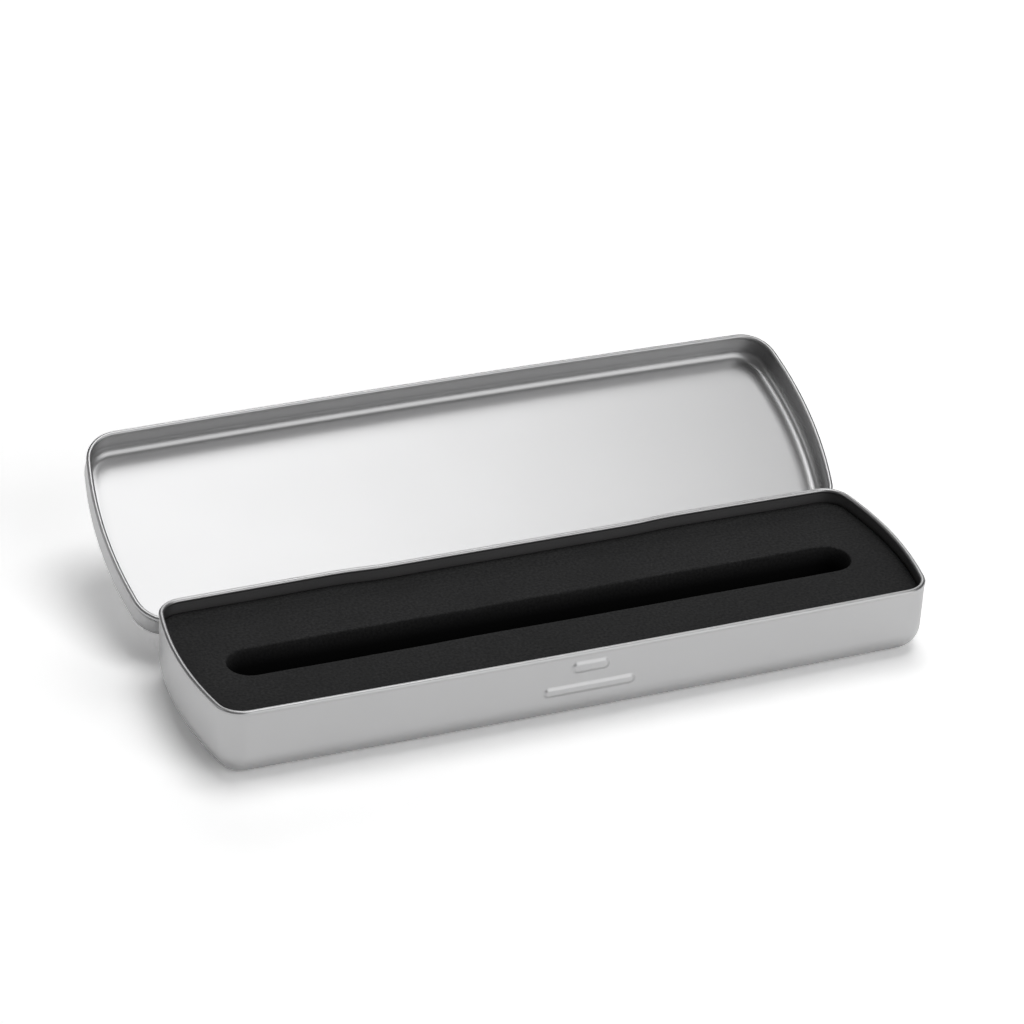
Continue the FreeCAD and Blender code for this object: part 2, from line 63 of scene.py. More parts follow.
# Grain shared by all finishes: features per metre where a finish gives none, and the noise's layers
FINE_PER_METRE, BROAD_PER_METRE = 4000.0, 40.0
FINE_LAYERS, BROAD_LAYERS = 2.0, 4.0
LAYER_FALL = 0.55

# Places of the colour sockets in a Mix node
MIX_LOW, MIX_HIGH, MIX_RESULT = 6, 7, 2

# Finish of the hinge, brighter and smoother than the sheet
STEEL_COLOUR = (0.5, 0.5, 0.51)
STEEL_ROUGHNESS = (0.28, 0.36)

Point = tuple[float, float]
Colour = tuple[float, float, float]


class Body(Enum):
    """Moving bodies of the tin."""

    BASE = "base"
    LID = "lid"


class Slot(Enum):
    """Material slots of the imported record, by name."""

    TIN = "tin"
    FOAM = "foam"


class Wall(Enum):
    """Which tray's walls an outline follows."""

    BASE = "base, with the hinge's flat seat in its back wall"
    LID = "lid, with a plain bowed back wall"


# Shader helpers


class Nodes:
    """Short way to add and link shader nodes in one tree."""

    def __init__(self, tree: bpy.types.NodeTree) -> None:
        """Start with an empty tree.

        Args:
            tree: Node tree of a material, a group or a world.
        """
        tree.nodes.clear()
        self.tree = tree

    def add(self, kind: str, **settings: object) -> bpy.types.Node:
        """Add a node and set its properties and inputs.

        Args:
            kind: Blender's name of the node type.
            settings: Properties by name, or inputs by name with spaces written as underscores.

        Returns:
            The new node.
        """
        node = self.tree.nodes.new(kind)
        for name, value in settings.items():
            if hasattr(node, name):
                setattr(node, name, value)
            else:
                node.inputs[name.replace("_", " ")].default_value = value
        return node

    def link(self, source: bpy.types.NodeSocket, target: bpy.types.NodeSocket) -> None:
        """Join an output to an input."""
        self.tree.links.new(source, target)

    def remap(self, source: bpy.types.NodeSocket, low: float, high: float) -> bpy.types.NodeSocket:
        """Stretch a 0 to 1 value over another range.

        Args:
            source: Output to stretch.
            low: Result at 0.
            high: Result at 1.

        Returns:
            The stretched output.
        """
        node = self.add("ShaderNodeMapRange", To_Min=low, To_Max=high)
        self.link(source, node.inputs["Value"])
        return node.outputs["Result"]

    def blend(self, share: bpy.types.NodeSocket, low: Colour) -> bpy.types.Node:
        """Add a blend of two colours, the second of which is still to be set or linked.

        Args:
            share: Output that is 0 for the first colour and 1 for the second.
            low: The first colour.

        Returns:
            The new Mix node.
        """
        node = self.add("ShaderNodeMix", data_type="RGBA")
        node.inputs[MIX_LOW].default_value = (*low, 1.0)
        self.link(share, node.inputs["Factor"])
        return node


@dataclass(frozen=True)
class GrainedMaterial:
    """Material under way: a shader whose normal already follows the shared grain."""

    material: bpy.types.Material
    nodes: Nodes
    shader: bpy.types.Node
    grain: bpy.types.Node

    @classmethod
    def start(cls, name: str, group: bpy.types.NodeTree, fine: float, broad: float,
              depth: float) -> "GrainedMaterial":
        """Start a material with a shader, the shared grain and a bump.

        Args:
            name: Name of the material.
            group: The shared grain's node group.
            fine: Grain features per metre.
            broad: Handling marks per metre.
            depth: Depth of the grain.

        Returns:
            The material with its nodes.
        """
        material = bpy.data.materials.new(name)
        material.use_nodes = True
        nodes = Nodes(material.node_tree)
        shader = nodes.add("ShaderNodeBsdfPrincipled")
        output = nodes.add("ShaderNodeOutputMaterial")
        nodes.link(shader.outputs["BSDF"], output.inputs["Surface"])
        grain = nodes.add("ShaderNodeGroup", node_tree=group)
        grain.inputs["Fine"].default_value = fine
        grain.inputs["Broad"].default_value = broad
        bump = nodes.add("ShaderNodeBump", Strength=1.0, Distance=depth)
        nodes.link(grain.outputs["Grain"], bump.inputs["Height"])
        nodes.link(bump.outputs["Normal"], shader.inputs["Normal"])
        return cls(material, nodes, shader, grain)


def new_group(name: str, inputs: dict[str, float],
              outputs: Sequence[str]) -> tuple[bpy.types.NodeTree, Nodes]:
    """Start a shader node group with float sockets.

    Args:
        name: Name of the group.
        inputs: Default of each float input by its name.
        outputs: Names of the float outputs.

    Returns:
        The group and the helper that fills it.
    """
    group = bpy.data.node_groups.new(name, "ShaderNodeTree")
    nodes = Nodes(group)
    for socket, default in inputs.items():
        made = group.interface.new_socket(socket, in_out="INPUT", socket_type="NodeSocketFloat")
        made.default_value = default
    for socket in outputs:
        group.interface.new_socket(socket, in_out="OUTPUT", socket_type="NodeSocketFloat")
    return group, nodes


def grain_group() -> bpy.types.NodeTree:
    """Fine grain and soft handling marks, shared by all finishes.

    Returns:
        Group with inputs Fine and Broad (features per metre) and outputs Grain and Marks, each 0 to 1.
    """
    defaults = {"Fine": FINE_PER_METRE, "Broad": BROAD_PER_METRE}
    group, nodes = new_group("surface_grain", defaults, ("Grain", "Marks"))
    entry = nodes.add("NodeGroupInput")
    leave = nodes.add("NodeGroupOutput")
    place = nodes.add("ShaderNodeTexCoord")
    for size, result, layers in (("Fine", "Grain", FINE_LAYERS), ("Broad", "Marks", BROAD_LAYERS)):
        texture = nodes.add("ShaderNodeTexNoise", Detail=layers, Roughness=LAYER_FALL)
        nodes.link(place.outputs["Object"], texture.inputs["Vector"])
        nodes.link(entry.outputs[size], texture.inputs["Scale"])
        nodes.link(texture.outputs["Fac"], leave.inputs[result])
    return group


@dataclass(frozen=True)
class SheetFinish:
    """Satin metal sheet with a fine grain and faint handling marks."""

    name: str
    grain: bpy.types.NodeTree
    colour: Colour = (0.46, 0.46, 0.463)
    roughness: tuple[float, float] = (0.37, 0.41)
    grain_per_metre: float = 5200.0
    marks_per_metre: float = 45.0
    grain_depth: float = 0.004 * MM
    tone_spread: float = 0.03

    def material(self) -> bpy.types.Material:
        """Build the finish as a material.

        Returns:
            Metal whose tone and roughness follow the handling marks.
        """
        made = GrainedMaterial.start(
            self.name, self.grain, self.grain_per_metre, self.marks_per_metre, self.grain_depth,
        )
        nodes, shader, marks = made.nodes, made.shader, made.grain.outputs["Marks"]
        shader.inputs["Metallic"].default_value = 1.0
        nodes.link(nodes.remap(marks, *self.roughness), shader.inputs["Roughness"])
        dark, light = 1 - self.tone_spread, 1 + self.tone_spread
        tone = nodes.blend(marks, tuple(part * dark for part in self.colour))
        tone.inputs[MIX_HIGH].default_value = (*[part * light for part in self.colour], 1.0)
        nodes.link(tone.outputs[MIX_RESULT], shader.inputs["Base Color"])
        return made.material


@dataclass(frozen=True)
class FoamFinish:
    """Matte black cut foam with a fine open-cell speckle, and painted shade that darkens it down in the
    slot.
    """

    name: str
    grain: bpy.types.NodeTree
    dark: Colour = (0.013, 0.0132, 0.0136)
    light: Colour = (0.035, 0.035, 0.0356)
    # painted shade: below the top the foam's colour fades to this near-black, standing in for the shade
    # that falls down in the slot
    painted_slot_shade: Colour = (0.003, 0.003, 0.0033)
    darkest_shade_level: float = 9.0 * MM
    top_level: float = 13.7 * MM
    roughness: float = 0.95
    specular: float = 0.25
    cells_per_metre: float = 1500.0
    marks_per_metre: float = 70.0
    cell_depth: float = 0.12 * MM
    cell_contrast: tuple[float, float] = (-0.5, 1.5)
    mark_contrast: tuple[float, float] = (0.5, 1.5)

    def material(self) -> bpy.types.Material:
        """Build the finish as a material.

        Returns:
            Foam whose speckle fades below the top to a near-black colour, painted shade for the slot.
        """
        made = GrainedMaterial.start(
            self.name, self.grain, self.cells_per_metre, self.marks_per_metre, self.cell_depth,
        )
        nodes, shader, grain = made.nodes, made.shader, made.grain
        shader.inputs["Roughness"].default_value = self.roughness
        shader.inputs["Specular IOR Level"].default_value = self.specular
        speckle = nodes.add("ShaderNodeMath", operation="MULTIPLY")
        nodes.link(nodes.remap(grain.outputs["Grain"], *self.cell_contrast), speckle.inputs[0])
        nodes.link(nodes.remap(grain.outputs["Marks"], *self.mark_contrast), speckle.inputs[1])
        tone = nodes.blend(speckle.outputs[0], self.dark)
        tone.inputs[MIX_HIGH].default_value = (*self.light, 1.0)
        # painted shade: the speckle is blended towards near-black from the top down to the slot's floor,
        # in place of the slot's shade
        place = nodes.add("ShaderNodeTexCoord")
        split = nodes.add("ShaderNodeSeparateXYZ")
        nodes.link(place.outputs["Object"], split.inputs[0])
        depth = nodes.add("ShaderNodeMapRange", From_Min=self.darkest_shade_level, From_Max=self.top_level)
        nodes.link(split.outputs["Z"], depth.inputs["Value"])
        shade = nodes.blend(depth.outputs["Result"], self.painted_slot_shade)
        nodes.link(tone.outputs[MIX_RESULT], shade.inputs[MIX_HIGH])
        nodes.link(shade.outputs[MIX_RESULT], shader.inputs["Base Color"])
        return made.material


# Outline of the tin


@dataclass(frozen=True)
class Stretch:
    """One stretch of an outline: an arc about a centre, or a straight run."""

    centre: Vector | None
    sweep: float
    run: Vector
    steps: int

    def mirrored(self) -> "Stretch":
        """The same stretch on the tin's other half, walked the other way."""
        centre = None if self.centre is None else Vector((-self.centre.x, self.centre.y, 0.0))
        return Stretch(centre, self.sweep, Vector((self.run.x, -self.run.y, 0.0)), self.steps)


def sweep_between(centre: Vector, first: Vector, last: Vector) -> float:
    """Signed angle about a centre from one point to another, the short way round.

    Args:
        centre: The centre.
        first: Point to start from.
        last: Point to turn to.

    Returns:
        The angle in radians, positive counter-clockwise.
    """
    start = math.atan2(first.y - centre.y, first.x - centre.x)
    end = math.atan2(last.y - centre.y, last.x - centre.x)
    return (end - start + math.pi) % math.tau - math.pi


def circle_meeting(a: Vector, reach_a: float, b: Vector, reach_b: float, near: Vector) -> Vector:
    """Point at two given distances from two centres.

    Args:
        a: First centre.
        reach_a: Distance from the first centre.
        b: Second centre.
        reach_b: Distance from the second centre.
        near: Point that picks one of the two answers.

    Returns:
        The meeting point nearer to that point.
    """
    line = b - a
    along = (line.length_squared + reach_a**2 - reach_b**2) / (2 * line.length)
    across = math.sqrt(reach_a**2 - along**2)
    direction = line.normalized()
    normal = Vector((-direction.y, direction.x, 0.0))
    foot = a + direction * along
    return min((foot + normal * across, foot - normal * across), key=lambda spot: (spot - near).length)


def beyond(centre: Vector, through: Vector, reach: float) -> Vector:
    """Point at a distance from a centre, in the direction of another point."""
    return centre + (through - centre).normalized() * reach


@dataclass(frozen=True)
class TinPlan:
    """Plan of the base's outer walls: bowed sides and ends, round corners and a flat hinge seat.

    The fields that end in steps give the number of pieces that a stretch of the outline is made of.
    """

    length: float = 175.0 * MM
    width: float = 49.6 * MM
    end_bow: float = 3.4 * MM
    side_bow: float = 0.6 * MM
    corner_radius: float = 6.5 * MM
    seat_depth: float = 0.85 * MM
    seat_half: float = 27.5 * MM
    seat_blend: float = 95.0 * MM
    ridge_half: float = 13.0 * MM
    notch_half: float = 23.8 * MM
    ridge_steps: int = 52
    front_steps: int = 22
    corner_steps: int = 14
    end_steps: int = 24
    rear_steps: int = 14
    seat_steps: int = 8

    @property
    def side_radius(self) -> float:
        """Radius of the bowed long walls."""
        return ((self.length / 2) ** 2 + self.side_bow**2) / (2 * self.side_bow)

    @property
    def end_radius(self) -> float:
        """Radius of the bowed end walls."""
        return ((self.width / 2) ** 2 + self.end_bow**2) / (2 * self.end_bow)

    def stretches(self, wall: Wall) -> list[Stretch]:
        """The outline's stretches, counter-clockwise from the middle of the front.

        Args:
            wall: Which tray's back wall to follow.

        Returns:
            Right half and mirrored left half, in order.
        """
        half, side, end = self.width / 2, self.side_radius, self.end_radius
        front, rear = Vector((0.0, side - half, 0.0)), Vector((0.0, half - side, 0.0))
        right = Vector((self.length / 2 - end, 0.0, 0.0))
        corner = self.corner_radius
        near = Vector((self.length / 2 - corner, corner - half, 0.0))
        low_corner = circle_meeting(front, side - corner, right, end - corner, near)
        high_corner = Vector((low_corner.x, -low_corner.y, 0.0))
        ridge_y = front.y - math.sqrt(side**2 - self.ridge_half**2)
        stops: list[tuple[Vector, Vector | None, int]] = [
            (Vector((0.0, -half, 0.0)), front, self.ridge_steps),
            (Vector((self.ridge_half, ridge_y, 0.0)), front, self.front_steps),
            (beyond(front, low_corner, side), low_corner, self.corner_steps),
            (beyond(right, low_corner, end), right, self.end_steps),
            (beyond(right, high_corner, end), high_corner, self.corner_steps),
            (beyond(rear, high_corner, side), rear, self.rear_steps),
        ]
        if wall is Wall.BASE:
            seat_end = Vector((self.seat_half, half - self.seat_depth, 0.0))
            hollow = seat_end + Vector((0.0, self.seat_blend, 0.0))
            far = Vector((self.length, 0.0, 0.0))
            bulge = circle_meeting(rear, side - self.seat_blend, hollow, 2 * self.seat_blend, far)
            stops += [
                (beyond(rear, bulge, side), bulge, self.seat_steps),
                ((bulge + hollow) / 2, hollow, self.seat_steps),
                (seat_end, None, self.seat_steps),
            ]
            finish = Vector((0.0, seat_end.y, 0.0))
        else:
            notch_y = rear.y + math.sqrt(side**2 - self.notch_half**2)
            stops.append((Vector((self.notch_half, notch_y, 0.0)), rear, self.seat_steps))
            finish = Vector((0.0, half, 0.0))
        ends = [place for place, _, _ in stops[1:]] + [finish]
        no_run = Vector((0.0, 0.0, 0.0))
        half_way: list[Stretch] = []
        for (start, centre, steps), stop in zip(stops, ends):
            if centre is None:
                half_way.append(Stretch(None, 0.0, stop - start, steps))
            else:
                half_way.append(Stretch(centre, sweep_between(centre, start, stop), no_run, steps))
        return half_way + [stretch.mirrored() for stretch in reversed(half_way)]

    def lay(self, mesh: BMesh, wall: Wall, offset: float, height: float) -> list[BMEdge]:
        """Lay the outline as a closed loop in an empty mesh, and keep each point's outward direction.

        Args:
            mesh: Mesh with the "outward" vector layer.
            wall: Which tray's back wall to follow.
            offset: How far outside the base's wall the loop lies.
            height: Level of the loop.

        Returns:
            The loop's edges.
        """
        outward = mesh.verts.layers.float_vector["outward"]
        start = vert = mesh.verts.new((0.0, -self.width / 2 - offset, height))
        start[outward] = Vector((0.0, -1.0, 0.0))
        for stretch in self.stretches(wall):
            if stretch.centre is None:
                for _ in range(stretch.steps):
                    vert = bmesh.ops.extrude_vert_indiv(mesh, verts=[vert])["verts"][0]
                    vert.co += stretch.run / stretch.steps
                continue
            known = len(mesh.verts)
            centre = Vector((stretch.centre.x, stretch.centre.y, height))
            side = math.copysign(1.0, (vert.co - centre).dot(vert[outward]))
            made = bmesh.ops.spin(
                mesh, geom=[vert], cent=centre, axis=(0.0, 0.0, 1.0), dvec=(0.0, 0.0, 0.0),
                angle=stretch.sweep, steps=stretch.steps, use_duplicate=False,
            )
            vert = next(part for part in made["geom_last"] if isinstance(part, BMVert))
            mesh.verts.ensure_lookup_table()
            for fresh in mesh.verts[known:]:
                fresh[outward] = (fresh.co - centre).normalized() * side
        bmesh.ops.weld_verts(mesh, targetmap={vert: start})
        return mesh.edges[:]


def arc(centre: Point, radius: float, start: float, end: float, steps: int) -> list[Point]:
    """Points of an arc in a wall section.

    Args:
        centre: Offset and height of the centre.
        radius: Radius.
        start: First angle in degrees, from straight outwards towards up.
        end: Last angle in degrees.
        steps: Number of pieces.

    Returns:
        Offset and height of each point, both ends included.
    """
    turns = [math.radians(start + (end - start) * index / steps) for index in range(steps + 1)]
    return [(centre[0] + radius * math.cos(turn), centre[1] + radius * math.sin(turn)) for turn in turns]


def rise(offset: float, start: float, end: float, step: float) -> list[Point]:
    """Points of a straight wall, evenly spaced.

    Args:
        offset: Offset of the wall.
        start: First height.
        end: Last height.
        step: Widest spacing.

    Returns:
        Offset and height of each point, both ends included.
    """
    count = max(1, math.ceil(abs(end - start) / step))
    return [(offset, start + (end - start) * index / count) for index in range(count + 1)]


def extrude_loop(mesh: BMesh, edges: list[BMEdge]) -> tuple[list[BMVert], list[BMEdge]]:
    """Extrude an open loop by one row, still in place.

    Args:
        mesh: Mesh that holds the loop.
        edges: The loop.

    Returns:
        Points and edges of the new loop.
    """
    made = bmesh.ops.extrude_edge_only(mesh, edges=edges)["geom"]
    points = [part for part in made if isinstance(part, BMVert)]
    return points, [part for part in made if isinstance(part, BMEdge) and part.is_boundary]


def sweep(mesh: BMesh, edges: list[BMEdge], section: Sequence[Point]) -> list[BMEdge]:
    """Carry an outline loop along a wall section.

    Args:
        mesh: Mesh with the "outward" vector layer.
        edges: The loop at the section's first point.
        section: Offset and height of each point of the section.

    Returns:
        The loop at the section's last point.
    """
    outward = mesh.verts.layers.float_vector["outward"]
    for (offset, height), (next_offset, next_height) in pairwise(section):
        points, edges = extrude_loop(mesh, edges)
        for vert in points:
            vert.co += vert[outward] * (next_offset - offset)
            vert.co.z += next_height - height
    return edges


def new_mesh() -> BMesh:
    """Make an empty mesh with the layer that holds each point's outward direction.

    Returns:
        The mesh.
    """
    mesh = bmesh.new()
    mesh.verts.layers.float_vector.new("outward")
    return mesh


def closed_shell(plan: TinPlan, wall: Wall, section: Sequence[Point]) -> BMesh:
    """Carry the tin's outline along a wall section and close it at both ends.

    Args:
        plan: Plan of the outline.
        wall: Which tray's back wall to follow.
        section: Offset and height of each point of the section.

    Returns:
        The closed mesh.
    """
    mesh = new_mesh()
    first = plan.lay(mesh, wall, *section[0])
    last = sweep(mesh, first, section)
    for loop in (first, last):
        bmesh.ops.edgeloop_fill(mesh, edges=loop)
    return mesh


def place_mesh(mesh: BMesh, name: str, material: bpy.types.Material) -> bpy.types.Object:
    """Put a mesh into the scene as an object.

    Args:
        mesh: The finished mesh, which is freed.
        name: Name of the object.
        material: Its finish.

    Returns:
        The new object.
    """
    data = bpy.data.meshes.new(name)
    mesh.to_mesh(data)
    mesh.free()
    data.materials.append(material)
    placed = bpy.data.objects.new(name, data)
    bpy.context.scene.collection.objects.link(placed)
    return placed


def finish_piece(mesh: BMesh, name: str, material: bpy.types.Material, body: Body,
                 nodes: Iterable[str]) -> bpy.types.Object:
    """Turn a mesh into a smooth piece that rides on a body in the place of CAD nodes.

    Args:
        mesh: The finished mesh, which is freed.
        name: Name of the piece.
        material: Its finish.
        body: Body that it rides on.
        nodes: CAD nodes that it stands for.

    Returns:
        The new object.
    """
    mesh.verts.layers.float_vector.remove(mesh.verts.layers.float_vector["outward"])
    bmesh.ops.remove_doubles(mesh, verts=mesh.verts, dist=MERGE_REACH)
    bmesh.ops.recalc_face_normals(mesh, faces=mesh.faces)
    for face in mesh.faces:
        face.smooth = True
    piece = place_mesh(mesh, name, material)
    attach(piece, body.value)
    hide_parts(*nodes)
    log.info("%s: %d faces on %s", name, len(piece.data.polygons), body.value)
    return piece


# Trays


@dataclass(frozen=True)
class Ridge:
    """Round-ended ridge pressed out of the front wall."""

    level: float
    length: float
    height: float
    stand: float
    shoulder: float = 1.0 * MM

    def push(self, across: float, level: float) -> float:
        """How far the wall stands out at a place.

        Args:
            across: Place along the tin.
            level: Height of the place.

        Returns:
            Stand at that place, 0 beyond the ridge.
        """
        reach = (self.length - self.height) / 2
        beside = math.hypot(max(abs(across) - reach, 0.0), level - self.level)
        share = (self.height / 2 + self.shoulder / 2 - beside) / self.shoulder
        share = min(max(share, 0.0), 1.0)
        return self.stand * share * share * (3 - 2 * share)


@dataclass
class BaseTray:
    """Drawn base with a rounded bottom edge, a rolled rim and two ridges in its front wall."""

    plan: TinPlan
    finish: bpy.types.Material
    height: float = 17.9 * MM
    gauge: float = 0.3 * MM
    bottom_radius: float = 6.2 * MM
    curl_radius: float = 0.6 * MM
    curl_proud: float = 0.12 * MM
    floor_guard: float = 0.25 * MM
    row: float = 0.25 * MM
    bottom_steps: int = 12
    curl_steps: int = 22
    ridges: tuple[Ridge, ...] = (
        Ridge(14.1 * MM, 8.6 * MM, 2.3 * MM, 0.45 * MM),
        Ridge(8.7 * MM, 21.6 * MM, 1.9 * MM, 0.45 * MM),
    )

    def section(self) -> list[Point]:
        """Wall section from under the floor, over the rim, to the floor inside.

        Returns:
            Offset and height of each point.
        """
        radius, gauge, curl = self.bottom_radius, self.gauge, self.curl_radius
        bead = (self.curl_proud - curl, self.height - curl)
        inner_start = math.degrees(math.acos((-gauge - bead[0]) / curl))
        outer_start = math.degrees(math.acos(-bead[0] / curl))
        rim = arc(bead, curl, -outer_start, FULL_TURN - inner_start, self.curl_steps)
        middle = (-radius, radius)
        outside = arc(middle, radius, -QUARTER_TURN, 0.0, self.bottom_steps)
        inside = arc(middle, radius - gauge, 0.0, -QUARTER_TURN, self.bottom_steps)
        return [
            (-radius - self.floor_guard, 0.0),
            *outside,
            *rise(0.0, radius, rim[0][1], self.row)[1:],
            *rim[1:],
            *rise(-gauge, rim[-1][1], radius, self.row)[1:],
            *inside[1:],
            (-radius - self.floor_guard, gauge),
        ]

    def press(self, mesh: BMesh) -> None:
        """Push the ridges out of the front wall.

        Args:
            mesh: The tray's mesh.
        """
        front = -self.plan.width / 2 + self.bottom_radius
        for vert in mesh.verts:
            if vert.co.y < front and abs(vert.co.x) < self.plan.ridge_half:
                vert.co.y -= sum(ridge.push(vert.co.x, vert.co.z) for ridge in self.ridges)

    def build(self) -> bpy.types.Object:
        """Build the tray and put it in the place of its CAD node.

        Returns:
            The tray.
        """
        mesh = closed_shell(self.plan, Wall.BASE, self.section())
        self.press(mesh)
        return finish_piece(mesh, "base_shell", self.finish, Body.BASE, ["base_tray"])


@dataclass
class LidTray:
    """Drawn lid with a rounded top edge, a sunk panel, a rolled rim and a notch for the hinge."""

    plan: TinPlan
    finish: bpy.types.Material
    hinge_axis: Vector
    open_angle: float
    top: float = 18.9 * MM
    depth: float = 8.1 * MM
    gauge: float = 0.3 * MM
    outer_offset: float = 1.8 * MM
    edge_radius: float = 2.6 * MM
    curl_radius: float = 0.6 * MM
    curl_offset: float = 1.45 * MM
    panel_border: float = 0.4 * MM
    panel_slope: float = 2.6 * MM
    panel_sink: float = 0.15 * MM
    panel_guard: float = 1.0 * MM
    notch_top: float = 12.75 * MM
    notch_slack: float = 0.02 * MM
    row: float = 1.2 * MM
    panel_steps: int = 8
    edge_steps: int = 10
    curl_steps: int = 24

    def panel(self, level: float) -> list[Point]:
        """Section of the sunk panel's edge, steep at the border and fading into the panel.

        Args:
            level: Height of the border.

        Returns:
            Offset and height of each point, from the border inwards.
        """
        border = self.outer_offset - self.edge_radius - self.panel_border
        shares = [index / self.panel_steps for index in range(self.panel_steps + 1)]
        slope = [
            (border - self.panel_slope * share, level - self.panel_sink * (1 - (1 - share) ** 2))
            for share in shares
        ]
        end = slope[-1]
        return [*slope, (end[0] - self.panel_guard, end[1])]

    def section(self) -> list[Point]:
        """Wall section of the shut lid from the panel's outside, round the rim, to its inside.

        Returns:
            Offset and height of each point.
        """
        outer, inner = self.outer_offset, self.outer_offset - self.gauge
        radius, curl = self.edge_radius, self.curl_radius
        bead = (self.curl_offset, self.top - self.depth + curl)
        outer_start = math.degrees(math.acos((outer - bead[0]) / curl))
        inner_start = math.degrees(math.acos((inner - bead[0]) / curl))
        rim = arc(bead, curl, outer_start, inner_start - FULL_TURN, self.curl_steps)
        middle = (outer - radius, self.top - radius)
        return [
            *reversed(self.panel(self.top)),
            *arc(middle, radius, QUARTER_TURN, 0.0, self.edge_steps),
            *rise(outer, middle[1], self.notch_top, self.row)[1:],
            *rise(outer, self.notch_top, rim[0][1], self.row)[1:],
            *rim[1:],
            *rise(inner, rim[-1][1], self.notch_top, self.row)[1:],
            *rise(inner, self.notch_top, middle[1], self.row)[1:],
            *arc(middle, radius - self.gauge, 0.0, QUARTER_TURN, self.edge_steps)[1:],
            *self.panel(self.top - self.gauge),
        ]

    def cut_notch(self, mesh: BMesh) -> None:
        """Cut the hinge's notch out of the back skirt and close the cut edges.

        Args:
            mesh: The shut lid's mesh.
        """
        near = self.notch_slack
        reach, back = self.plan.notch_half + near, self.plan.width / 2 - self.edge_radius

        def in_notch(vert: BMVert) -> bool:
            """Whether a point lies in the notch or on its edge."""
            return vert.co.y > back and abs(vert.co.x) < reach and vert.co.z < self.notch_top + near

        gone = [face for face in mesh.faces if all(in_notch(vert) for vert in face.verts)]
        bmesh.ops.delete(mesh, geom=gone, context="FACES")
        open_edges = [edge for edge in mesh.edges if edge.is_boundary]
        top = [edge for edge in open_edges if all(abs(v.co.z - self.notch_top) < near for v in edge.verts)]
        top = [edge for edge in top if abs(edge.verts[0].co.x - edge.verts[1].co.x) > near]
        bmesh.ops.bridge_loops(mesh, edges=top)
        for side in (-1.0, 1.0):
            rest = [edge for edge in mesh.edges if edge.is_boundary and edge.verts[0].co.x * side > 0]
            bmesh.ops.contextual_create(mesh, geom=rest)

    def build(self) -> bpy.types.Object:
        """Build the lid shut, cut it, swing it open and put it in the place of its CAD node.

        Returns:
            The lid.
        """
        mesh = closed_shell(self.plan, Wall.LID, self.section())
        self.cut_notch(mesh)
        turn = Matrix.Rotation(-self.open_angle, 3, "X")
        bmesh.ops.rotate(mesh, cent=self.hinge_axis, matrix=turn, verts=mesh.verts)
        return finish_piece(mesh, "lid_shell", self.finish, Body.LID, ["lid_tray"])


# Foam


